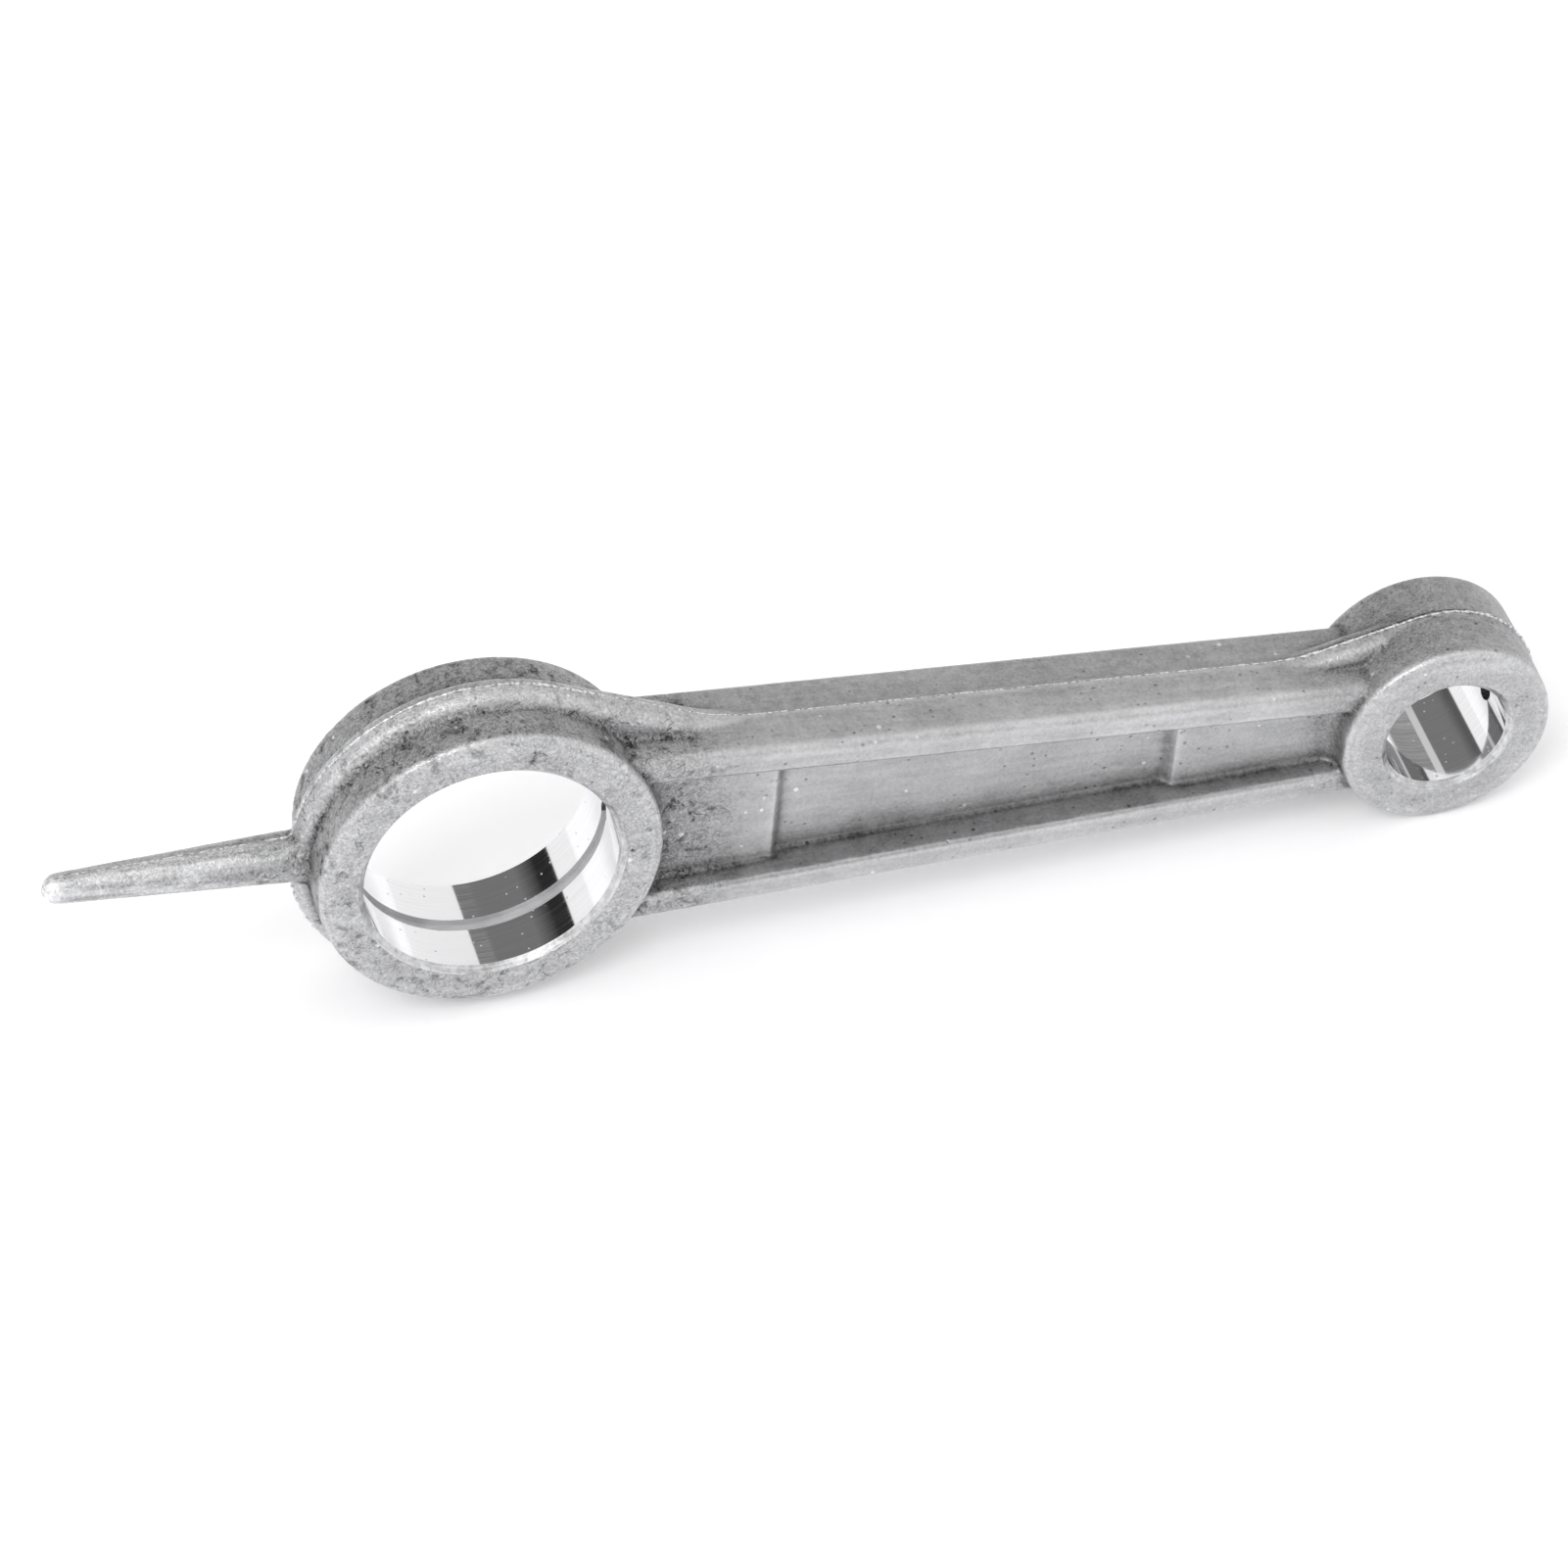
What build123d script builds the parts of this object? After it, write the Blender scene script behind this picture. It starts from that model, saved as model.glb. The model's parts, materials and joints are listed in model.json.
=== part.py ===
from build123d import *
from math import cos, radians, sin, tan
import os

# One-piece connecting rod, a pressure die casting in aluminium with two machined eyes.
# Frame: the origin is the crankpin axis at mid width, +X runs to the wrist-pin eye, Y lies along
# both bores, +Z is up. The die parts on the plane Y = 0, so every cast wall is drafted away from it.

# Driving dimensions, in millimetres and degrees
centre_distance = 155.0
eye_width = 20.0

crankpin_bore = 40.0
crankpin_wall = 7.0
crankpin_chamfer = 1.0
wristpin_bore = 20.0
wristpin_wall = 7.2
wristpin_chamfer = 1.0
eye_edge_radius = 1.0
eye_draft = 1.5

face_pad_height = 0.3
face_pad_margin = 1.5

oil_groove_width = 2.4
oil_groove_depth = 0.9
oil_passage_bore = 3.0
oil_catch_bore = 4.0

rim_proud = 2.1
rim_thickness = 5.6
rim_draft = 3.0
rim_edge_radius = 2.2
rim_sink = 0.05
rim_run_out_angle = 22.5
rim_run_out_radius = 35.0
gusset_angle = 15.0
gusset_run_out_radius = 25.0

shank_thickness = 16.2
shank_height_at_crankpin = 36.3
shank_height_at_wristpin = 21.1
shank_draft = 3.5
flange_depth = 4.7
flange_inner_draft = 2.5
flange_outer_radius = 1.7
flange_inner_radius = 1.0
web_root_radius = 0.7

web_thickness = 5.3
web_end_thickness = 8.6
web_step_run = 1.3
crankpin_web_run = 18.9
wristpin_web_run = 25.9
eye_root_radius = 3.0

dipper_length = 38.2
dipper_root_diameter = 8.1
dipper_tip_diameter = 4.8

flash_height = 0.2
flash_thickness = 0.3

# Sizes that follow from them
half_width = eye_width / 2
crankpin_radius = crankpin_bore / 2
wristpin_radius = wristpin_bore / 2
crankpin_face_radius = crankpin_radius + crankpin_wall
wristpin_face_radius = wristpin_radius + wristpin_wall
eye_spread = half_width * tan(radians(eye_draft))
crankpin_wall_radius = crankpin_face_radius + eye_spread
wristpin_wall_radius = wristpin_face_radius + eye_spread
rim_radius = crankpin_wall_radius + rim_proud
gusset_radius = wristpin_wall_radius - rim_sink
half_rim = rim_thickness / 2
half_shank = shank_thickness / 2
web_step_start = crankpin_wall_radius + crankpin_web_run
web_step_end = centre_distance - wristpin_wall_radius - wristpin_web_run
dipper_reach = rim_radius + dipper_length
overlap = 1.0


def shank_half_height(x):
    """Half height of the shank on the parting plane, falling evenly from eye to eye."""
    share = x / centre_distance
    return (shank_height_at_crankpin * (1 - share) + shank_height_at_wristpin * share) / 2


def upper_edge():
    """Top of the mid-plane outline: rim tangent, shank crest and gusset, as three straight runs."""
    run_out = radians(rim_run_out_angle)
    rise = radians(gusset_angle)
    crest_start = shank_half_height(0) - rim_sink
    crest_fall = (shank_half_height(0) - shank_half_height(centre_distance)) / centre_distance
    rim_intercept = rim_radius / cos(run_out)
    gusset_intercept = gusset_radius / cos(rise) - centre_distance * tan(rise)
    rim_corner_x = (rim_intercept - crest_start) / (tan(run_out) - crest_fall)
    gusset_corner_x = (crest_start - gusset_intercept) / (tan(rise) + crest_fall)
    return [
        (rim_radius * sin(run_out), rim_radius * cos(run_out)),
        (rim_corner_x, crest_start - crest_fall * rim_corner_x),
        (gusset_corner_x, crest_start - crest_fall * gusset_corner_x),
        (centre_distance - gusset_radius * sin(rise), gusset_radius * cos(rise)),
    ]


def mid_plane_outline(grow=0.0):
    """Closed outline of the casting on its parting plane, moved out by grow."""
    top = upper_edge()
    radii = [rim_run_out_radius, gusset_run_out_radius]
    bottom = [(x, -z) for x, z in top]
    upper = FilletPolyline(*top, radius=radii)
    lower = FilletPolyline(*bottom, radius=radii)
    big_arc = ThreePointArc(top[0], (-rim_radius, 0), bottom[0])
    small_arc = ThreePointArc(top[3], (centre_distance + gusset_radius, 0), bottom[3])
    face = make_face(Wire([*upper.edges(), *small_arc.edges(), *lower.edges(), *big_arc.edges()]))
    if grow:
        face = offset(face, amount=grow, kind=Kind.ARC)
    return Plane.XZ * face


def pocket_face(start, end, flange_share):
    """Space between the flanges from start to end, reaching flange_share into each flange."""
    corners = []
    for x in (start, end):
        corners.append((x, shank_half_height(x) - (1 - flange_share) * flange_depth))
    lower = [(x, -z) for x, z in reversed(corners)]
    return Plane.XZ * make_face(Polyline(*corners, *lower, close=True))


def rim_plate():
    """The rib round the crankpin eye and the gussets at the wrist-pin eye, on the parting plane."""
    half = extrude(mid_plane_outline(), amount=half_rim, taper=rim_draft)
    front = fillet(half.faces().sort_by(Axis.Y)[0].edges(), rim_edge_radius)
    plate = front + mirror(front, Plane.XZ)
    pocket = pocket_face(crankpin_radius, centre_distance - wristpin_radius, 0.5)
    return plate - extrude(pocket, amount=half_width, both=True)


def eye(x, face_radius):
    """One eye as a solid disc: drafted wall, rounded edge and a face pad raised round the bore."""
    edge_y = half_width - face_pad_height
    mid_radius = face_radius + eye_spread
    edge_radius = mid_radius - edge_y * tan(radians(eye_draft))
    pad_radius = edge_radius - face_pad_margin
    half_profile = [
        (mid_radius, 0),
        (edge_radius, edge_y),
        (pad_radius, edge_y),
        (pad_radius, half_width),
        (0, half_width),
    ]
    profile = make_face(Polyline((0, 0), *half_profile, close=True))
    rounded = fillet(profile.vertices().sort_by_distance((edge_radius, edge_y))[0], eye_edge_radius)
    disc = revolve(rounded, Axis.Y)
    disc += mirror(disc, Plane.XZ)
    return Pos(x, 0, 0) * disc


def shank_section(x, web):
    """I-section of the shank at x, with its draft, rounded flange edges and web root fillets."""
    crest = shank_half_height(x)
    outer = crest - half_shank * tan(radians(shank_draft))
    inner = outer - flange_depth
    root = inner - (half_shank - web / 2) * tan(radians(flange_inner_draft))
    quarter = [
        ((half_shank, outer), flange_outer_radius),
        ((half_shank, inner), flange_inner_radius),
        ((web / 2, root), web_root_radius),
    ]
    front = [*quarter, *[((y, -z), radius) for (y, z), radius in reversed(quarter)]]
    back = [((-y, z), radius) for (y, z), radius in reversed(front)]
    corners = [((0, crest), 0), *front, ((0, -crest), 0), *back]
    edge = FilletPolyline(*[p for p, _ in corners], radius=[r for _, r in corners], close=True)
    return Plane.YZ.offset(x) * make_face(edge)


def shank():
    """The I-beam between the eyes, its web thicker next to each eye."""
    stations = [
        (0, web_end_thickness),
        (web_step_start, web_end_thickness),
        (web_step_start + web_step_run, web_thickness),
        (web_step_end - web_step_run, web_thickness),
        (web_step_end, web_end_thickness),
        (centre_distance, web_end_thickness),
    ]
    return loft([shank_section(x, web) for x, web in stations], ruled=True)


def eye_root(x, face_radius, direction):
    """Concave fillet where the web runs into an eye, kept between the flanges."""
    web_face = web_end_thickness / 2
    top = web_face + eye_root_radius
    wall = face_radius + (half_width - top) * tan(radians(eye_draft))
    ring = make_face(
        [
            Line((wall - overlap, web_face - overlap), (wall + eye_root_radius, web_face - overlap)),
            Line((wall + eye_root_radius, web_face - overlap), (wall + eye_root_radius, web_face)),
            RadiusArc((wall + eye_root_radius, web_face), (wall, top), eye_root_radius),
            Line((wall, top), (wall - overlap, top)),
            Line((wall - overlap, top), (wall - overlap, web_face - overlap)),
        ]
    )
    collar = revolve(ring, Axis.Y)
    collar += mirror(collar, Plane.XZ)
    reach = wall + eye_root_radius + overlap
    pocket = pocket_face(x, x + direction * reach, 0.2)
    return (Pos(x, 0, 0) * collar) & extrude(pocket, amount=half_width, both=True)


def dipper():
    """Tapered, round-ended oil dipper on the rod's axis, rooted in the wall of the crankpin eye."""
    root_radius = dipper_root_diameter / 2
    tip_radius = dipper_tip_diameter / 2
    tip_x = dipper_reach - tip_radius
    fall = (root_radius - tip_radius) / (tip_x - rim_radius)
    start_x = crankpin_face_radius - overlap
    start_radius = root_radius + fall * (rim_radius - start_x)
    profile = make_face(
        [
            Line((-start_x, 0), (-start_x, start_radius)),
            Line((-start_x, start_radius), (-tip_x, tip_radius)),
            RadiusArc((-tip_x, tip_radius), (-dipper_reach, 0), -tip_radius),
            Line((-dipper_reach, 0), (-start_x, 0)),
        ]
    )
    return revolve(profile, Axis.X)


def bore_tool(x, radius, chamfer_size):
    """Cutter for one bore, right through the eye, opened out by a chamfer at each face."""
    end = half_width + overlap
    mouth = radius + chamfer_size + overlap
    half_profile = Polyline(
        (0, 0), (radius, 0), (radius, half_width - chamfer_size), (mouth, end), (0, end), close=True
    )
    tool = revolve(make_face(half_profile), Axis.Y)
    return Pos(x, 0, 0) * (tool + mirror(tool, Plane.XZ))


def oil_groove_tool():
    """Cutter for the groove round the middle of the crankpin bore."""
    disc = Cylinder(crankpin_radius + oil_groove_depth, oil_groove_width)
    return Rot(90, 0, 0) * disc


def oil_hole_tools():
    """Drilled passage along the shank, and the wider oil hole through the end of the rod."""
    end_x = centre_distance + wristpin_wall_radius + overlap
    passage = Cylinder(oil_passage_bore / 2, centre_distance, align=(Align.CENTER, Align.CENTER, Align.MIN))
    catch = Cylinder(
        oil_catch_bore / 2, end_x - centre_distance, align=(Align.CENTER, Align.CENTER, Align.MIN)
    )
    along = Rot(0, 90, 0)
    return along * passage + Pos(centre_distance, 0, 0) * along * catch


def parting_flash():
    """Thin fin of flash left all round on the die's parting plane."""
    return extrude(mid_plane_outline(flash_height), amount=flash_thickness / 2, both=True)


def rod_casting():
    """The whole casting with its machined bores."""
    body = rim_plate() + shank()
    body += eye(0, crankpin_face_radius)
    body += eye(centre_distance, wristpin_face_radius)
    body += eye_root(0, crankpin_face_radius, 1)
    body += eye_root(centre_distance, wristpin_face_radius, -1)
    body += dipper()
    body += parting_flash()
    body -= bore_tool(0, crankpin_radius, crankpin_chamfer)
    body -= bore_tool(centre_distance, wristpin_radius, wristpin_chamfer)
    body -= oil_groove_tool()
    body -= oil_hole_tools()
    return body


os.makedirs("parts", exist_ok=True)
export_step(rod_casting(), "parts/rod_casting.step")
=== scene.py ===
import json
from math import asin, cos, pi, radians, sin

import bmesh
import bpy
import numpy as np
from mathutils import Matrix, Vector
from mathutils.kdtree import KDTree


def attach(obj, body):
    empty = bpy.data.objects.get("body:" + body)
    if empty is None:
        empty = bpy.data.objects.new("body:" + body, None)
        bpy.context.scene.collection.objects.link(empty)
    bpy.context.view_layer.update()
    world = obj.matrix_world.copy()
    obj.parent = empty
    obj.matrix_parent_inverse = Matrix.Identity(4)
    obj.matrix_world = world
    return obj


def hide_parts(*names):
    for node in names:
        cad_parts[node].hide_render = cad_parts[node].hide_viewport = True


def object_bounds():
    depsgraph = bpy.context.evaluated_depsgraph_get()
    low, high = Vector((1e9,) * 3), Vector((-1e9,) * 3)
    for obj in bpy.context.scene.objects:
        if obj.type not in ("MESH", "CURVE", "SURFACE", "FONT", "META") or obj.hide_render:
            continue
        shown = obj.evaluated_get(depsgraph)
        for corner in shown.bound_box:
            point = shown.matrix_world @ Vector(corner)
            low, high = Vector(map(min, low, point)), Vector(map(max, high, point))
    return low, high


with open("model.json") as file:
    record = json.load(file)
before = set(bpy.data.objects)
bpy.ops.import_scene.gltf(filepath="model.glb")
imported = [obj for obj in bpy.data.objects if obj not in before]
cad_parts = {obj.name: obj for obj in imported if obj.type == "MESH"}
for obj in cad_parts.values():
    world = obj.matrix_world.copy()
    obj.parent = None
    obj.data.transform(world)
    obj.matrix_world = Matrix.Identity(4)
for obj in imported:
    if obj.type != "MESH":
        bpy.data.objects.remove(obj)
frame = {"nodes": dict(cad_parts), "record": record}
cad_low, cad_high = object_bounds()
MM = 0.001


# Camera: a long lens from the front, well above the rod and a little to its left, so that the
# crankpin eye is nearest. The rod runs slightly uphill across the picture.

camera_data = bpy.data.cameras.new("camera")
camera_data.sensor_width = 36.0
camera_data.lens = 156.9
camera_data.clip_start = 0.01
camera = bpy.data.objects.new("camera", camera_data)
bpy.context.scene.collection.objects.link(camera)
bpy.context.scene.camera = camera

camera_azimuth = radians(-19.795)
camera_elevation = radians(42.397)
camera_roll = radians(5.644)
camera_distance = 1.0558
aim = Vector((0.0488, 0.0, 0.0005))

level = cos(camera_elevation)
back = Vector((sin(camera_azimuth) * level, -cos(camera_azimuth) * level, sin(camera_elevation)))
side = Vector((cos(camera_azimuth), sin(camera_azimuth), 0.0))
above = back.cross(side)
right = cos(camera_roll) * side + sin(camera_roll) * above
up = cos(camera_roll) * above - sin(camera_roll) * side
camera_facing = Matrix((right, up, back)).transposed().to_4x4()
camera.matrix_world = Matrix.Translation(aim + back * camera_distance) @ camera_facing


# Casting blank: aluminium shot into a two-part steel die, before any machining. It is grown from
# the rod's solid with its bores stopped up, so every inside corner gets a soft cast radius.

mounts = {mount["name"]: mount for mount in frame["record"]["mounts"]}
crankpin = mounts["crankpin_bore"]
wristpin = mounts["wristpin_bore"]
eyes = [
    (Vector(crankpin["pos_m"]), crankpin["dims"]["r_mm"] * MM),
    (Vector(wristpin["pos_m"]), wristpin["dims"]["r_mm"] * MM),
]
(crank_centre, crank_radius), (wrist_centre, wrist_radius) = eyes
half_width = cad_high.y
chamfer = half_width - crankpin["dims"]["length_mm"] * MM / 2


def placed(name, made):
    """A mesh put in the scene as an object at the origin."""
    piece = bpy.data.objects.new(name, made)
    bpy.context.scene.collection.objects.link(piece)
    return piece


def lathe(name, centre, profile, steps, finishes=()):
    """Closed solid turned about the Y axis through centre, from (radius, y, finish) points.

    A point's finish is the number of the material between it and the next point."""
    mesh = bmesh.new()
    rings = []
    for radius, y, _ in profile:
        if radius == 0:
            rings.append([mesh.verts.new((centre.x, y, centre.z))])
            continue
        turns = [2 * pi * i / steps for i in range(steps)]
        ring = [(centre.x + radius * sin(t), y, centre.z + radius * cos(t)) for t in turns]
        rings.append([mesh.verts.new(corner) for corner in ring])
    for near, far, point in zip(rings, rings[1:], profile):
        for i in range(steps):
            j = (i + 1) % steps
            corners = [near[i % len(near)], near[j % len(near)], far[j % len(far)], far[i % len(far)]]
            mesh.faces.new(list(dict.fromkeys(corners))).material_index = point[2]
    bmesh.ops.recalc_face_normals(mesh, faces=mesh.faces)
    made = bpy.data.meshes.new(name)
    mesh.to_mesh(made)
    mesh.free()
    for finish in finishes:
        made.materials.append(finish)
    return placed(name, made)


def evaluated(piece, name):
    """The piece's mesh with its modifiers applied, as a plain mesh."""
    bpy.context.view_layer.update()
    graph = bpy.context.evaluated_depsgraph_get()
    made = bpy.data.meshes.new_from_object(piece.evaluated_get(graph), depsgraph=graph)
    made.name = name
    return made


def put_away(piece):
    """Removes a helper object once its shape has been used."""
    bpy.data.objects.remove(piece)


plug_margin = 1.5 * MM
plug_steps = 96
oil_plug_radius = 2.6 * MM
oil_plug_steps = 24
oil_plug_end = cad_high.x - 0.35 * MM
merge_distance = 0.002 * MM
voxel = 0.3 * MM

blank_mesh = bmesh.new()
blank_mesh.from_mesh(frame["nodes"]["rod_casting"].data)
bmesh.ops.remove_doubles(blank_mesh, verts=blank_mesh.verts, dist=merge_distance)
for centre, radius in eyes:
    stop = radius + chamfer + plug_margin
    ends = [(0, -half_width, 0), (stop, -half_width, 0), (stop, half_width, 0), (0, half_width, 0)]
    plug = lathe("plug", centre, ends, plug_steps)
    blank_mesh.from_mesh(plug.data)
    put_away(plug)
bmesh.ops.create_cone(
    blank_mesh,
    cap_ends=True,
    segments=oil_plug_steps,
    radius1=oil_plug_radius,
    radius2=oil_plug_radius,
    depth=oil_plug_end,
    matrix=Matrix.Translation((oil_plug_end / 2, 0, 0)) @ Matrix.Rotation(pi / 2, 4, "Y"),
)
made = bpy.data.meshes.new("blank")
blank_mesh.to_mesh(made)
blank_mesh.free()
blank = placed("blank", made)
remesh = blank.modifiers.new("skin", "REMESH")
remesh.mode = "VOXEL"
remesh.voxel_size = voxel
blank.data = evaluated(blank, "blank")
blank.modifiers.clear()


def read(items, field):
    """A field of all a mesh's points or faces, as rows of three."""
    values = np.empty(len(items) * 3, dtype=np.float32)
    items.foreach_get(field, values)
    return values.reshape(-1, 3).astype(float)


def write(mesh, points):
    """Puts a mesh's points where the rows say."""
    mesh.vertices.foreach_set("co", points.astype(np.float32).ravel())
    mesh.update()


def edge_ends(mesh):
    """The two point numbers of every edge."""
    ends = np.empty(len(mesh.edges) * 2, dtype=np.int32)
    mesh.edges.foreach_get("vertices", ends)
    return ends.reshape(-1, 2)


def to_neighbours(points, ends):
    """The step from each point to the middle of its neighbours."""
    near, far = ends[:, 0], ends[:, 1]
    count = np.bincount(ends.ravel(), minlength=len(points))[:, None]
    total = [
        np.bincount(near, points[far, axis], len(points)) + np.bincount(far, points[near, axis], len(points))
        for axis in range(3)
    ]
    return np.stack(total, axis=1) / count - points


# Passes of smoothing all over, and then of filling in the inside corners alone. Each eye has the
# radius of the area that is filled more, and its passes.
skin_passes = 3
skin_step = 0.5
corner_fill = [(33 * MM, 6), (22 * MM, 6)]
shank_fill = 2
fill_easing = 4 * MM
fill_step = 0.8
normals_every = 5

points = read(blank.data.vertices, "co")
ends = edge_ends(blank.data)
for _ in range(skin_passes):
    points += skin_step * to_neighbours(points, ends)
fill = np.full(len(points), shank_fill)
for (centre, _), (area, passes) in zip(eyes, corner_fill):
    away = np.hypot(points[:, 0] - centre.x, points[:, 2] - centre.z)
    eased = np.clip((area - away) / fill_easing, 0, 1)
    fill = np.maximum(fill, (passes * eased).astype(int))
for turn in range(max(passes for _, passes in corner_fill)):
    if turn % normals_every == 0:
        write(blank.data, points)
        normals = read(blank.data.vertex_normals, "vector")
    step = to_neighbours(points, ends)
    inside_corner = ((step * normals).sum(axis=1) > 0) & (turn < fill)
    points[inside_corner] += fill_step * step[inside_corner]
write(blank.data, points)


# Cast skin: the face of the worn die, printed in the metal. It is slightly wavy all over, and it is
# pitted where the metal reached the walls of the big eye last.


def node(tree, kind, feeds=None, **settings):
    """Adds a node and gives its first output. Feeds are values or other nodes' outputs, by input."""
    made = tree.nodes.new(kind)
    for name, value in settings.items():
        setattr(made, name, value)
    for name, value in (feeds or {}).items():
        if isinstance(value, bpy.types.NodeSocket):
            tree.links.new(value, made.inputs[name])
        else:
            made.inputs[name].default_value = value
    return made.outputs[0]


def maths(tree, operation, *values):
    """A maths node on one to three values or outputs."""
    return node(tree, "ShaderNodeMath", dict(enumerate(values)), operation=operation)


def times(tree, one, other):
    """One value times another."""
    return maths(tree, "MULTIPLY", one, other)


def shaded(tree, tone, amount, depth):
    """A tone with depth added to it where the amount is one."""
    return maths(tree, "MULTIPLY_ADD", amount, depth, tone)


def ramp(tree, value, low, high, from_low=0.3, from_high=0.7):
    """Maps a value smoothly to low and high from a range, by default the one that noise fills."""
    ranges = {"Value": value, "From Min": from_low, "From Max": from_high, "To Min": low, "To Max": high}
    return node(tree, "ShaderNodeMapRange", ranges, interpolation_type="SMOOTHSTEP")


def grain(tree, place, size, detail=2.0, distortion=0.0, seed=0.0):
    """Soft noise whose lumps are about one size across, in metres."""
    settings = {"Vector": place, "W": seed, "Detail": detail, "Distortion": distortion}
    if isinstance(size, bpy.types.NodeSocket):
        settings["Scale"] = maths(tree, "DIVIDE", 1.0, size)
    else:
        settings["Scale"] = 1 / size
    return node(tree, "ShaderNodeTexNoise", settings, noise_dimensions="4D")


def growing(name, sizes):
    """An empty Geometry Nodes tree with named inputs, and its group input and output."""
    tree = bpy.data.node_groups.new(name, "GeometryNodeTree")
    tree.interface.new_socket("Geometry", in_out="INPUT", socket_type="NodeSocketGeometry")
    for size in sizes:
        tree.interface.new_socket(size, in_out="INPUT", socket_type="NodeSocketFloat")
    tree.interface.new_socket("Finish", in_out="INPUT", socket_type="NodeSocketMaterial")
    tree.interface.new_socket("Geometry", in_out="OUTPUT", socket_type="NodeSocketGeometry")
    return tree, tree.nodes.new("NodeGroupInput").outputs, tree.nodes.new("NodeGroupOutput").inputs


def close_tree(tree, shape, given, result):
    """Ends a tree: real geometry with its finish on it."""
    real = node(tree, "GeometryNodeRealizeInstances", {"Geometry": shape})
    finished = node(tree, "GeometryNodeSetMaterial", {"Geometry": real, "Material": given["Finish"]})
    tree.links.new(finished, result[0])


def grown(piece, tree, sizes, finish):
    """The plain mesh that a tree makes of a piece, with its inputs set by socket identifier."""
    modifier = piece.modifiers.new(tree.name, "NODES")
    modifier.node_group = tree
    for item in tree.interface.items_tree:
        if item.in_out == "INPUT" and item.name in sizes:
            modifier[item.identifier] = sizes[item.name]
        if item.name == "Finish":
            modifier[item.identifier] = finish
    made = evaluated(piece, piece.name)
    piece.modifiers.clear()
    return made


def material(name):
    """A new material, with its tree, its shader and its object coordinates."""
    made = bpy.data.materials.new(name)
    made.use_nodes = True
    tree = made.node_tree
    place = tree.nodes.new("ShaderNodeTexCoord").outputs["Object"]
    return made, tree, tree.nodes["Principled BSDF"], place


def split(tree, vector):
    """The X, Y and Z outputs of a vector."""
    return node(tree, "ShaderNodeSeparateXYZ", {"Vector": vector}).node.outputs


def axis_distance(tree, place, centre):
    """How far a place is from the Y axis through centre."""
    parts = split(tree, place)
    across = maths(tree, "POWER", maths(tree, "SUBTRACT", parts["X"], centre.x), 2)
    return maths(tree, "SQRT", maths(tree, "ADD", across, maths(tree, "POWER", parts["Z"], 2)))


def grey(tree, value):
    """A grey with a trace of blue in it, as bare aluminium has."""
    blue = times(tree, value, 1.012)
    return node(tree, "ShaderNodeCombineColor", {"Red": value, "Green": value, "Blue": blue})


def spots(tree, place, cell, from_low, from_high, seed=None):
    """Scattered round spots, one to a cell, that fade out over a share of the cell."""
    cells = {"Vector": place, "Scale": 1 / cell}
    if seed is None:
        spot = node(tree, "ShaderNodeTexVoronoi", cells)
    else:
        spot = node(tree, "ShaderNodeTexVoronoi", {**cells, "W": seed}, voronoi_dimensions="4D")
    return ramp(tree, spot, 1.0, 0.0, from_low, from_high)


def wire(tree, shader, tone, roughness, relief, relief_depth=MM):
    """Joins a finish to its shader: its grey, its roughness and a relief so deep."""
    bump = node(tree, "ShaderNodeBump", {"Height": relief, "Distance": relief_depth, "Strength": 1.0})
    tree.links.new(grey(tree, tone), shader.inputs["Base Color"])
    tree.links.new(roughness, shader.inputs["Roughness"])
    tree.links.new(bump, shader.inputs["Normal"])


def attribute(tree, name):
    """A value kept on the mesh's points."""
    return node(tree, "ShaderNodeAttribute", attribute_name=name).node.outputs["Fac"]


big_eye_edge = (33 * MM, 46 * MM)
small_eye_edge = (125 * MM, 140 * MM)
dipper_edge = (-38 * MM, -28 * MM)
worn_tip_edge = (-66 * MM, -63.5 * MM)
rim_half = (2.8 * MM, 3.6 * MM)
wall_end = (8.4 * MM, 9.3 * MM)
face_edge = (9.3 * MM, 9.7 * MM)

cast_skin, tree, shader, place = material("cast_skin")
parts = split(tree, place)
off_middle = maths(tree, "ABSOLUTE", parts["Y"])
at_big_eye = ramp(tree, axis_distance(tree, place, crank_centre), 1.0, 0.0, *big_eye_edge)
at_small_eye = ramp(tree, parts["X"], 0.0, 1.0, *small_eye_edge)
on_dipper = ramp(tree, parts["X"], 1.0, 0.0, *dipper_edge)

# The metal's own grain, in four sizes, with streaks drawn out along the rod
cloud = grain(tree, place, 12 * MM, detail=3.0, distortion=0.6)
mottle = grain(tree, place, 2.2 * MM, detail=4.0, distortion=0.8, seed=3.0)
grit = grain(tree, place, 0.55 * MM, detail=3.0, seed=5.0)
drawn_out = node(tree, "ShaderNodeMapping", {"Vector": place, "Scale": (0.12, 1.0, 1.0)})
streak = grain(tree, drawn_out, 1.2 * MM, detail=3.0, distortion=0.4, seed=7.0)
tone = 0.478
for speckle, strength in ((cloud, 0.03), (mottle, 0.028), (grit, 0.045), (streak, 0.03)):
    tone = maths(tree, "ADD", tone, ramp(tree, speckle, -strength, strength))

# Rubbing in the tumbler: coarse at the big eye and the dipper, finer on the small eye
rubbed = grain(tree, place, 0.9 * MM, detail=5.0, distortion=2.2, seed=6.0)
rubbed_here = maths(tree, "MAXIMUM", at_big_eye, on_dipper)
rubbed_here = maths(tree, "MAXIMUM", rubbed_here, maths(tree, "MULTIPLY_ADD", at_small_eye, 0.5, 0.15))
coarse = times(tree, ramp(tree, rubbed, -1.0, 1.0, 0.34, 0.66), rubbed_here)
tone = shaded(tree, tone, coarse, 0.11)
tone = shaded(tree, tone, attribute(tree, "wear"), 0.09)
# Painted shade: inside corners darker
tone = shaded(tree, tone, attribute(tree, "corner_shade"), -0.2)

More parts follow.
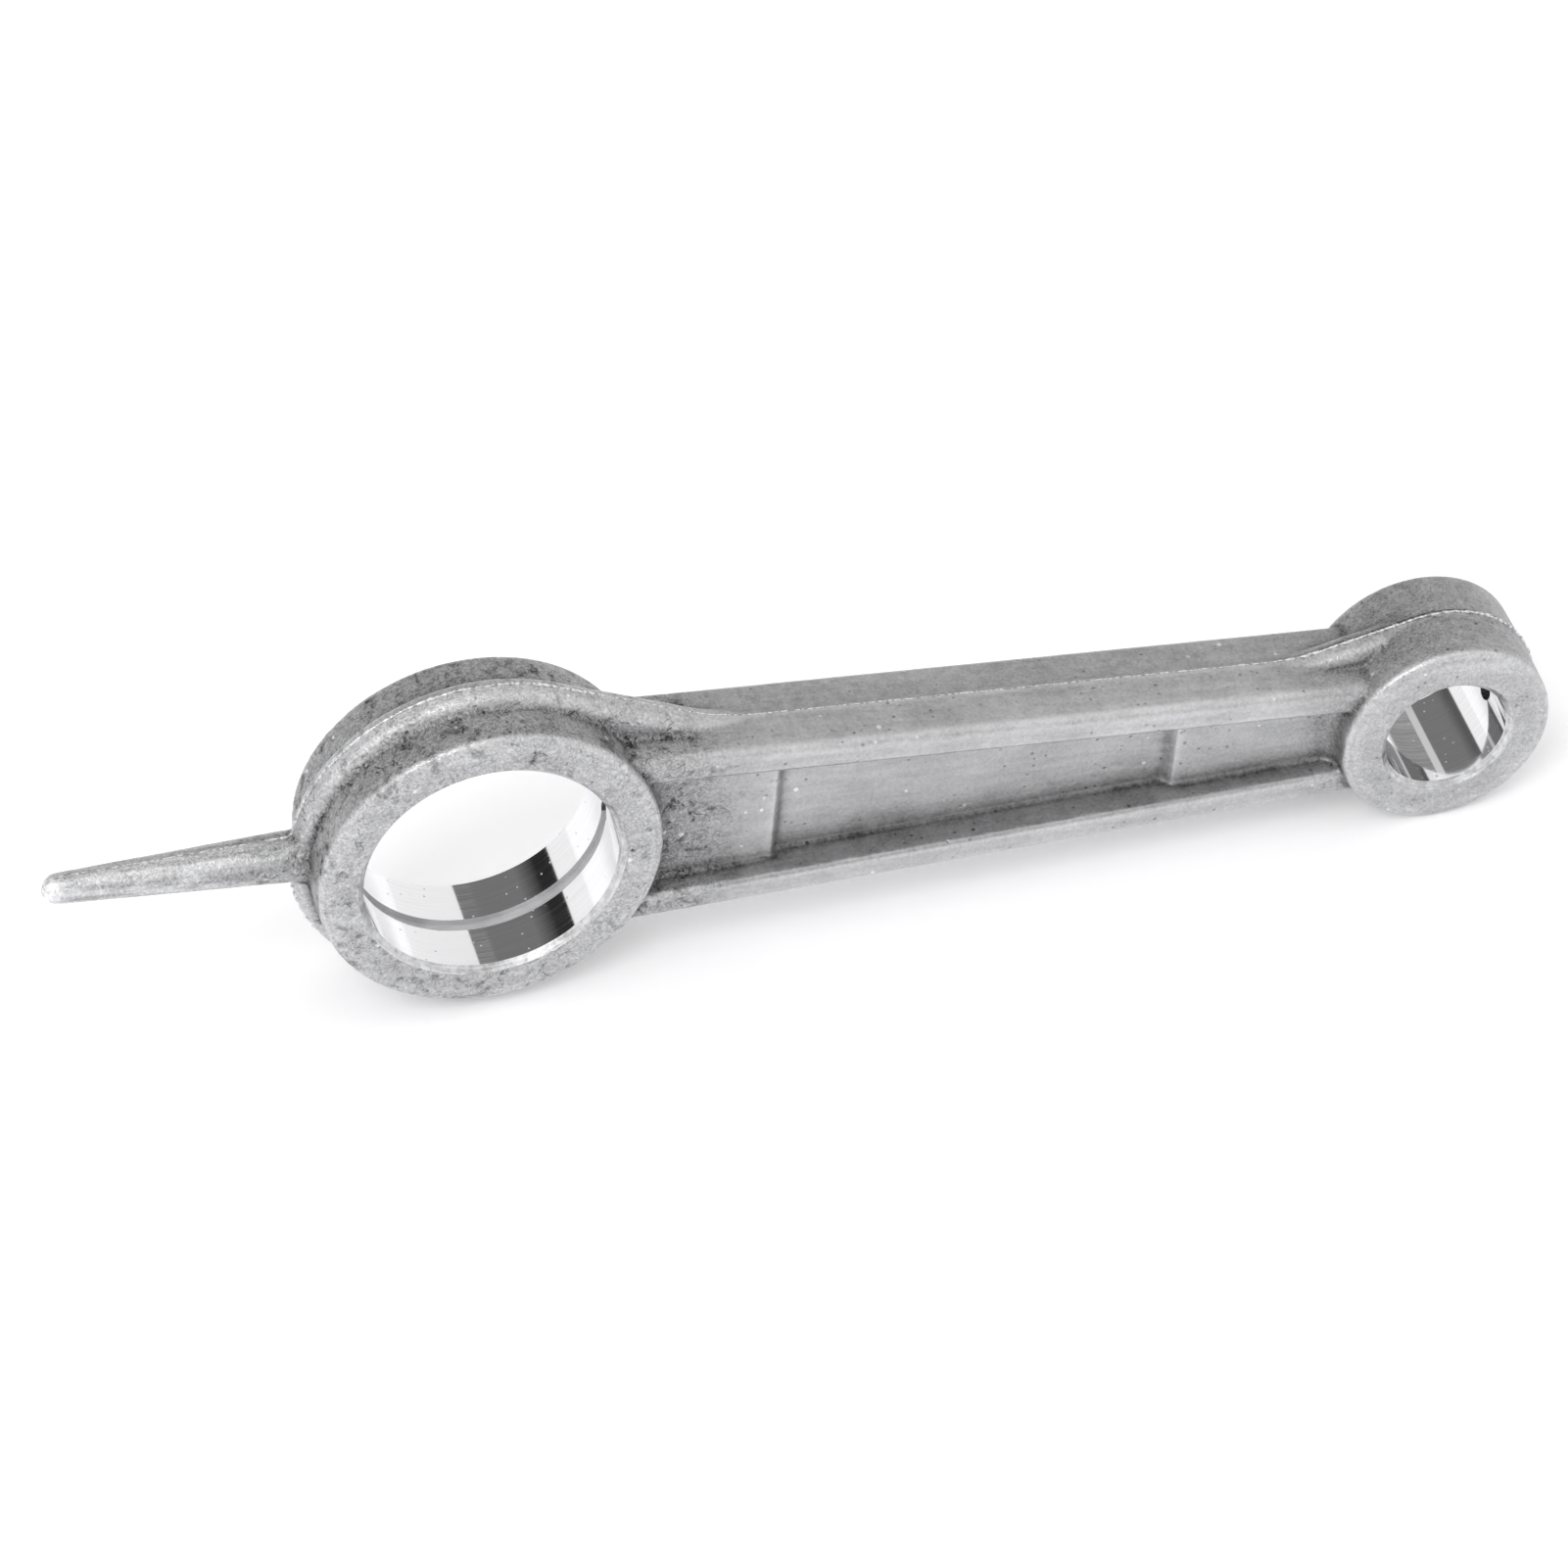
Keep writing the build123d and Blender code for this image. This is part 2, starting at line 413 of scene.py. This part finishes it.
# Pinholes where gas escaped, and bright dents from other castings in the tumbler
pinhole = spots(tree, place, 2.3 * MM, 0.1, 0.16, seed=31.0)
dent = spots(tree, place, 3.1 * MM, 0.1, 0.16, seed=33.0)
tone = shaded(tree, tone, pinhole, -0.2)
tone = shaded(tree, tone, dent, 0.3)

# Die lubricant baked on at the big eye; painted shade on the eyes' walls, and their faces are rubbed
stain = ramp(tree, grain(tree, place, 4 * MM, detail=5.0, distortion=1.2, seed=11.0), 0.0, 0.2, 0.53, 0.68)
tone = shaded(tree, tone, times(tree, stain, at_big_eye), -1.0)
# Painted shade on the walls of both eyes, off the big eye's rim
off_rim = times(tree, at_big_eye, ramp(tree, off_middle, 0.0, 1.0, *rim_half))
wall_shade = maths(tree, "ADD", off_rim, at_small_eye)
wall_shade = times(tree, wall_shade, ramp(tree, off_middle, 1.0, 0.0, *wall_end))
tone = shaded(tree, tone, wall_shade, -0.11)
rubbed_face = times(tree, at_big_eye, ramp(tree, off_middle, 0.0, 1.0, *face_edge))
tone = shaded(tree, tone, rubbed_face, 0.01)

# Painted shade on the insides of both flanges, which face the web
facing = split(tree, tree.nodes.new("ShaderNodeNewGeometry").outputs["Normal"])
pocket_shade = ramp(tree, times(tree, facing["Z"], parts["Z"]), 1.0, 0.0, -6 * MM, -2 * MM)
eyes_here = maths(tree, "MAXIMUM", ramp(tree, at_big_eye, 0.0, 1.0, 0.4, 1.0), at_small_eye)
pocket_shade = times(tree, pocket_shade, maths(tree, "SUBTRACT", 1.0, eyes_here))
tone = shaded(tree, tone, pocket_shade, -0.13)

# The dipper: its tip is worn bright, and its sides are drawn in long streaks
worn_tip = ramp(tree, parts["X"], 1.0, 0.0, *worn_tip_edge)
tone = shaded(tree, tone, times(tree, worn_tip, mottle), 0.4)
tone = maths(tree, "ADD", tone, times(tree, on_dipper, ramp(tree, streak, -0.08, 0.1, 0.35, 0.65)))

# Pores, and the cold cracks that a worn die prints at the big eye
pore = spots(tree, place, 1.7 * MM, 0.08, 0.22)
pore = times(tree, pore, ramp(tree, grain(tree, place, 6 * MM, seed=13.0), 0.1, 1.0, 0.48, 0.6))
tone = shaded(tree, tone, pore, -0.16)
bend = {"Vector": place, "Scale": 1 / (2.5 * MM), "Detail": 3.0}
bend = node(tree, "ShaderNodeTexNoise", bend).node.outputs["Color"]
bend = node(tree, "ShaderNodeVectorMath", {0: bend, "Scale": 2.4 * MM}, operation="SCALE")
crazed = node(tree, "ShaderNodeVectorMath", {0: place, 1: bend}, operation="ADD")
crack_cells = {"Vector": crazed, "Scale": 1 / (2.6 * MM)}
crack = node(tree, "ShaderNodeTexVoronoi", crack_cells, feature="DISTANCE_TO_EDGE")
crack = ramp(tree, crack, 1.0, 0.0, 0.01, 0.045)
crack = times(tree, crack, ramp(tree, grain(tree, place, 3 * MM, seed=17.0), 0.0, 1.0, 0.56, 0.64))
crack = times(tree, crack, ramp(tree, at_big_eye, 0.0, 1.0, 0.6, 1.0))
tone = shaded(tree, tone, crack, -0.18)

# Painted shadow: a dark line behind the flash of the small eye
off_line = maths(tree, "ABSOLUTE", maths(tree, "SUBTRACT", parts["Y"], 0.5 * MM))
flash_shadow = ramp(tree, off_line, 1.0, 0.0, 0.16 * MM, 0.34 * MM)
flash_shadow = times(tree, flash_shadow, ramp(tree, mottle, 0.6, 1.0, 0.4, 0.6))
tone = shaded(tree, tone, times(tree, flash_shadow, at_small_eye), -0.3)
tone = maths(tree, "MAXIMUM", tone, 0.05)

rough = maths(tree, "ADD", ramp(tree, mottle, 0.42, 0.54), ramp(tree, grit, -0.05, 0.05))
rough = shaded(tree, rough, attribute(tree, "wear"), -0.06)
relief = times(tree, mottle, 0.05)
for bump, height in ((grit, 0.03), (coarse, 0.022), (streak, 0.02), (pore, -0.07), (crack, -0.08)):
    relief = shaded(tree, relief, bump, height)
wire(tree, shader, tone, rough, relief)
shader.inputs["Metallic"].default_value = 0.9

skin_sizes = {
    "Wave Height": 0.05 * MM,
    "Wave Size": 8 * MM,
    "Ripple Height": 0.025 * MM,
    "Ripple Size": 2.5 * MM,
    "Pit Depth": 0.14 * MM,
    "Pit Size": 2.0 * MM,
}
tree, given, result = growing("die_print", skin_sizes)
where = node(tree, "GeometryNodeInputPosition")
outward = node(tree, "GeometryNodeInputNormal")
wave = maths(tree, "SUBTRACT", grain(tree, where, given["Wave Size"], seed=1.0), 0.5)
wave = times(tree, times(tree, wave, 2.0), given["Wave Height"])
ripple = maths(tree, "SUBTRACT", grain(tree, where, given["Ripple Size"], seed=2.0), 0.5)
ripple = times(tree, times(tree, ripple, 2.0), given["Ripple Height"])
pit_cells = {"Vector": where, "Scale": maths(tree, "DIVIDE", 1.0, given["Pit Size"])}
pit = ramp(tree, node(tree, "ShaderNodeTexVoronoi", pit_cells), 1.0, 0.0, 0.1, 0.4)
pit_patch = ramp(tree, grain(tree, where, 6 * MM, seed=4.0), 0.0, 1.0, 0.5, 0.6)
near_crankpin = ramp(tree, axis_distance(tree, where, crank_centre), 1.0, 0.15, 32 * MM, 40 * MM)
pit = times(tree, times(tree, pit, pit_patch), near_crankpin)
lift = maths(tree, "SUBTRACT", maths(tree, "ADD", wave, ripple), times(tree, pit, given["Pit Depth"]))
offset = node(tree, "ShaderNodeVectorMath", {0: outward, "Scale": lift}, operation="SCALE")
moved = node(tree, "GeometryNodeSetPosition", {"Geometry": given["Geometry"], "Offset": offset})
close_tree(tree, moved, given, result)
blank.data = grown(blank, tree, skin_sizes, cast_skin)

# Outside edges are rubbed bright in the tumbler, and inside corners are darkened with painted
# shade. How far the skin stands out from its own smoothed shape tells one from the other.
rounding_passes = 16
rounding_step = 0.8
full_wear_and_shade = 0.12 * MM
points = read(blank.data.vertices, "co")
normals = read(blank.data.vertex_normals, "vector")
ends = edge_ends(blank.data)
smooth = points.copy()
for _ in range(rounding_passes):
    smooth += rounding_step * to_neighbours(smooth, ends)
bulge = ((points - smooth) * normals).sum(axis=1)
lookup = KDTree(len(points))
for i, point in enumerate(points):
    lookup.insert(point, i)
lookup.balance()

kept_share = 0.26
thin = blank.modifiers.new("thin", "DECIMATE")
thin.ratio = kept_share
blank.data = evaluated(blank, "blank")
blank.modifiers.clear()
points = read(blank.data.vertices, "co")
write(blank.data, np.clip(points, cad_low, cad_high))


# Machining: both bores are turned bright and chamfered, an oil groove is cut round the crankpin
# bore, and the oil passage is drilled along the rod from its wrist-pin end.

groove_width = 2.4 * MM
groove_depth = 0.9 * MM
passage_radius = 1.5 * MM
catch_radius = 2.0 * MM
overrun = 0.5 * MM
turning_steps = 256
drill_steps = 48
sharp_angle = radians(35)


def tool_marks(tree, place, drawn, size, seed):
    """Fine rings left by a tool, drawn out round the Y axis."""
    ring_place = node(tree, "ShaderNodeMapping", {"Vector": place, "Scale": (drawn, 1.0, drawn)})
    return grain(tree, ring_place, size, detail=3.0, seed=seed)


# The bores: a mirror finish, with faint rings and a few pores that the cut opened
turned_bore, tree, shader, place = material("turned_bore")
rings = tool_marks(tree, place, 0.03, 0.3 * MM, 2.0)
wander = grain(tree, place, 9 * MM, seed=4.0)
opened = ramp(tree, grain(tree, place, 5 * MM, detail=1.0, seed=6.0), 0.0, 1.0, 0.47, 0.52)
opened = times(tree, spots(tree, place, 1.6 * MM, 0.08, 0.13), opened)
tone = maths(tree, "SUBTRACT", ramp(tree, rings, 0.82, 0.88), times(tree, opened, 0.2))
rough = maths(tree, "ADD", ramp(tree, rings, 0.05, 0.09), times(tree, opened, 0.45))
relief = maths(tree, "ADD", times(tree, rings, 0.0004), times(tree, wander, 0.008))
relief = maths(tree, "SUBTRACT", relief, times(tree, opened, 0.02))
wire(tree, shader, tone, rough, relief)
shader.inputs["Metallic"].default_value = 1.0

# The chamfers: coarser rings and small nicks
turned_chamfer, tree, shader, place = material("turned_chamfer")
rings = tool_marks(tree, place, 0.06, 0.25 * MM, 8.0)
nick = grain(tree, place, 1.1 * MM, detail=4.0, distortion=0.6, seed=14.0)
tone = maths(tree, "ADD", ramp(tree, rings, 0.52, 0.7), ramp(tree, nick, -0.12, 0.08, 0.35, 0.65))
relief = shaded(tree, times(tree, rings, 0.01), nick, 0.03)
wire(tree, shader, tone, ramp(tree, nick, 0.28, 0.45), relief)
shader.inputs["Metallic"].default_value = 0.9

# The groove: a form tool's matt finish, under a film of oil
cut_groove, tree, shader, place = material("cut_groove")
rings = tool_marks(tree, place, 0.05, 0.25 * MM, 9.0)
film = grain(tree, place, 4 * MM, detail=4.0, distortion=0.5, seed=10.0)
tone = maths(tree, "ADD", ramp(tree, rings, 0.52, 0.64), ramp(tree, film, -0.05, 0.05))
wire(tree, shader, tone, ramp(tree, rings, 0.5, 0.62), rings, 0.006 * MM)
shader.inputs["Metallic"].default_value = 0.35

# The drilled holes: a dark grey as painted shade, with torn swarf
hole_shade, tree, shader, place = material("hole_shade")
swarf = grain(tree, place, 0.5 * MM, detail=4.0, distortion=0.3, seed=12.0)
wire(tree, shader, ramp(tree, swarf, 0.1, 0.3), ramp(tree, swarf, 0.4, 0.6), swarf, 0.03 * MM)
shader.inputs["Metallic"].default_value = 0.9


def tool_profile(radius, groove=()):
    """The outline of what a bore's tool removes: chamfer, bore, chamfer, with a groove in between."""
    mouth = radius + chamfer + overrun
    far = half_width + overrun
    flat = half_width - chamfer
    front = [(0, -far, 1), (mouth, -far, 1), (radius, -flat, 0)]
    back = [(radius, flat, 1), (mouth, far, 1), (0, far, 1)]
    return [*front, *groove, *back]


def drill(name, radius, start, end):
    """A drill's path along X."""
    mesh = bmesh.new()
    bmesh.ops.create_cone(
        mesh,
        cap_ends=True,
        segments=drill_steps,
        radius1=radius,
        radius2=radius,
        depth=end - start,
        matrix=Matrix.Translation(((start + end) / 2, 0, 0)) @ Matrix.Rotation(pi / 2, 4, "Y"),
    )
    made = bpy.data.meshes.new(name)
    mesh.to_mesh(made)
    mesh.free()
    made.materials.append(hole_shade)
    return placed(name, made)


groove_floor = crank_radius + groove_depth
groove = [
    (crank_radius, -groove_width / 2, 2),
    (groove_floor, -groove_width / 2, 2),
    (groove_floor, groove_width / 2, 2),
    (crank_radius, groove_width / 2, 0),
]
turned = (turned_bore, turned_chamfer, cut_groove)
tools = [
    lathe("crankpin_tool", crank_centre, tool_profile(crank_radius, groove), turning_steps, turned),
    lathe("wristpin_tool", wrist_centre, tool_profile(wrist_radius), turning_steps, turned),
    drill("passage_drill", passage_radius, crank_centre.x, wrist_centre.x),
    drill("catch_drill", catch_radius, wrist_centre.x, cad_high.x + overrun),
]
for tool in tools:
    cut = blank.modifiers.new(tool.name, "BOOLEAN")
    cut.operation = "DIFFERENCE"
    cut.solver = "MANIFOLD"
    cut.material_mode = "TRANSFER"
    cut.object = tool
machined = evaluated(blank, "casting")
for tool in tools:
    put_away(tool)
machined.shade_smooth()
machined.set_sharp_from_angle(angle=sharp_angle)

nearest = [lookup.find(point)[1] for point in read(machined.vertices, "co")]
# Wear on outside edges, and painted shade in inside corners
for name, sign in (("wear", 1), ("corner_shade", -1)):
    level_here = np.clip(sign * bulge[nearest] / full_wear_and_shade, 0, 1).astype(np.float32)
    machined.attributes.new(name, "FLOAT", "POINT").data.foreach_set("value", level_here)
casting = placed("casting", machined)
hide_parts("rod_casting")
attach(casting, "root")


# Flash line: a thin ragged fin of metal that was squeezed out where the two die halves meet, all
# round the rod. It was broken off by hand, so its height wanders; it is proudest on the small eye.

outline = bmesh.new()
outline.from_mesh(blank.data)
put_away(blank)
everything = outline.verts[:] + outline.edges[:] + outline.faces[:]
cut = bmesh.ops.bisect_plane(outline, geom=everything, plane_co=(0, 0, 0), plane_no=(0, 1, 0))
parting = {edge for edge in cut["geom_cut"] if isinstance(edge, bmesh.types.BMEdge)}
others = [edge for edge in outline.edges if edge not in parting]
bmesh.ops.delete(outline, geom=others, context="EDGES_FACES")
bmesh.ops.delete(outline, geom=outline.faces[:], context="FACES_ONLY")
loose = [point for point in outline.verts if not point.link_edges]
bmesh.ops.delete(outline, geom=loose, context="VERTS")
made = bpy.data.meshes.new("parting_line")
outline.to_mesh(made)
outline.free()
parting_line = placed("parting_line", made)

fin, tree, shader, place = material("broken_fin")
torn = grain(tree, place, 0.6 * MM, detail=3.0, seed=21.0)
wire(tree, shader, ramp(tree, torn, 0.34, 0.82, 0.38, 0.6), ramp(tree, torn, 0.34, 0.5), torn, 0.05 * MM)
shader.inputs["Metallic"].default_value = 0.9

fin_sizes = {
    "Thickness": 0.66 * MM,
    "Wander": 0.35 * MM,
    "Tear Size": 1.3 * MM,
    "Point Spacing": 0.3 * MM,
    "Shank Middle": 74 * MM,
    "Shank Reach": 50 * MM,
    "Shank Fade": 12 * MM,
    "Dipper Start": -28 * MM,
    "Dipper End": -36 * MM,
}
tree, given, result = growing("squeezed_fin", fin_sizes)
line = node(tree, "GeometryNodeMeshToCurve", {"Mesh": given["Geometry"]})
line = node(tree, "GeometryNodeResampleCurve", {"Curve": line, "Length": given["Point Spacing"]}, mode="LENGTH")
where = node(tree, "GeometryNodeInputPosition")
sway = maths(tree, "SUBTRACT", grain(tree, where, 4 * MM, detail=3.0, seed=8.0), 0.5)
aside = node(tree, "ShaderNodeCombineXYZ", {"Y": times(tree, sway, given["Wander"])})
line = node(tree, "GeometryNodeSetPosition", {"Geometry": line, "Offset": aside})
ragged = ramp(tree, grain(tree, where, given["Tear Size"], detail=3.0, seed=9.0), 0.55, 1.1, 0.35, 0.65)
along = split(tree, where)["X"]
from_middle = maths(tree, "ABSOLUTE", maths(tree, "SUBTRACT", along, given["Shank Middle"]))
shank_end = maths(tree, "ADD", given["Shank Reach"], given["Shank Fade"])
proud = ramp(tree, from_middle, 0.42, 1.0, given["Shank Reach"], shank_end)
proud = times(tree, proud, ramp(tree, along, 0.4, 1.0, given["Dipper End"], given["Dipper Start"]))
radius = times(tree, times(tree, ragged, proud), maths(tree, "DIVIDE", given["Thickness"], 2.0))
round_bar = node(tree, "GeometryNodeCurvePrimitiveCircle", {"Resolution": 6, "Radius": 1.0})
bar = node(tree, "GeometryNodeCurveToMesh", {"Curve": line, "Profile Curve": round_bar, "Scale": radius})
close_tree(tree, bar, given, result)
made = grown(parting_line, tree, fin_sizes, fin)
put_away(parting_line)
write(made, np.clip(read(made.vertices, "co"), cad_low, cad_high))
flash_line = placed("flash_line", made)
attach(flash_line, "root")


# Floor and light: a sheet of pale paper that the rims of both eyes stand on, in a white tent with
# one soft lamp. Grey flags hung behind the rod and in front of it show in its two bright bores.

rim_radius = cad_high.z
wrist_rim_radius = cad_high.x - wrist_centre.x
tilt = asin((rim_radius - wrist_rim_radius) / wrist_centre.x)
floor_up = Vector((-sin(tilt), 0, cos(tilt)))
floor_along = Vector((cos(tilt), 0, sin(tilt)))
floor_across = Vector((0, 1, 0))
floor_size = 8.0
floor_middle = floor_up * -rim_radius
floor_mesh = bmesh.new()
corners = [(-1, -1), (1, -1), (1, 1), (-1, 1)]
spread = [(floor_along * x + floor_across * y) * floor_size + floor_middle for x, y in corners]
floor_mesh.faces.new([floor_mesh.verts.new(corner) for corner in spread])
made = bpy.data.meshes.new("floor")
floor_mesh.to_mesh(made)
floor_mesh.free()
floor = placed("floor", made)
paper, tree, shader, place = material("pale_paper")
fibre = grain(tree, place, 1.5 * MM, detail=3.0)
tree.links.new(grey(tree, ramp(tree, fibre, 0.9, 0.93)), shader.inputs["Base Color"])
shader.inputs["Roughness"].default_value = 0.9
shader.inputs["Emission Color"].default_value = (1.0, 1.0, 1.0, 1.0)
shader.inputs["Emission Strength"].default_value = 0.2
made.materials.append(paper)

world = bpy.data.worlds.new("tent")
bpy.context.scene.world = world
world.use_nodes = True
tree = world.node_tree
tent = tree.nodes["Background"]
toward = split(tree, tree.nodes.new("ShaderNodeTexCoord").outputs["Generated"])
turn = maths(tree, "DEGREES", maths(tree, "ARCTAN2", toward["X"], toward["Z"]))


def flag(tree, turn, edges):
    """Light by turn about the Y axis. Each edge is (turn in degrees, light beyond it, half its blur)."""
    light = edges[0][1]
    for at, beyond, blur in edges[1:]:
        blurred = {"Value": turn, "From Min": at - blur, "From Max": at + blur}
        light = node(tree, "ShaderNodeMapRange", {**blurred, "To Min": light, "To Max": beyond})
    return light


def choose(tree, share, one, other):
    """One value where the share is nought, and the other where it is one."""
    return node(tree, "ShaderNodeMix", {0: share, 2: one, 3: other})


# Both bores are seen in the flag behind the rod. The wrist-pin bore is the further off, so it shows
# the part of the flag that is nearer the side.
crank_edges = [(-180, 1.0, 1), (-70, 0.02, 0.6), (-44, 0.19, 10), (22, 1.0, 0.6)]
wrist_edges = [(-180, 1.0, 1), (-70, 0.12, 1.5), (-52, 0.2, 8)]
wrist_edges += [(6.5, 0.7, 1), (20.5, 0.27, 1), (80, 1.0, 6)]
wrist_side = 0.681
flag_inner = (0.56, 0.6)
flag_outer = (0.78, 0.82)
seen_in_wrist = maths(tree, "LESS_THAN", toward["Y"], wrist_side)
behind = choose(tree, seen_in_wrist, flag(tree, turn, crank_edges), flag(tree, turn, wrist_edges))
on_flag = ramp(tree, toward["Y"], 0.0, 1.0, *flag_inner)
on_flag = times(tree, on_flag, ramp(tree, toward["Y"], 1.0, 0.0, *flag_outer))
shine = choose(tree, on_flag, 1.0, behind)

# Narrower flags in front, for whoever looks from the back
front_edges = [(-180, 1.0, 1), (-62, 0.15, 2), (-28, 0.75, 4), (18, 0.2, 2), (34, 1.0, 2)]
in_front = ramp(tree, toward["Y"], 1.0, 0.0, -0.72, -0.66)
shine = times(tree, shine, choose(tree, in_front, 1.0, flag(tree, turn, front_edges)))

# The tent's back wall is dimmer above the horizon
horizon = (0.05, 0.3)
dimmed = ramp(tree, toward["Y"], 1.0, 0.35, 0.722, 0.76)
above_behind = times(tree, dimmed, ramp(tree, toward["Z"], 0.0, 1.0, *horizon))
below = ramp(tree, toward["Z"], 1.0, 0.0, *horizon)
shine = times(tree, shine, maths(tree, "ADD", above_behind, below))
tent_light = node(tree, "ShaderNodeCombineColor", {"Red": shine, "Green": shine, "Blue": shine})
tree.links.new(tent_light, tent.inputs["Color"])
tent.inputs["Strength"].default_value = 1.0

key_data = bpy.data.lights.new("key", "AREA")
key_data.shape = "DISK"
key_data.size = 0.9
key_data.energy = 12.0
key = bpy.data.objects.new("key", key_data)
bpy.context.scene.collection.objects.link(key)
key_place = Vector((-0.9, -1.0, 1.5))
key.matrix_world = Matrix.Translation(key_place) @ key_place.to_track_quat("Z", "Y").to_matrix().to_4x4()
bpy.context.scene.view_settings.view_transform = "Standard"
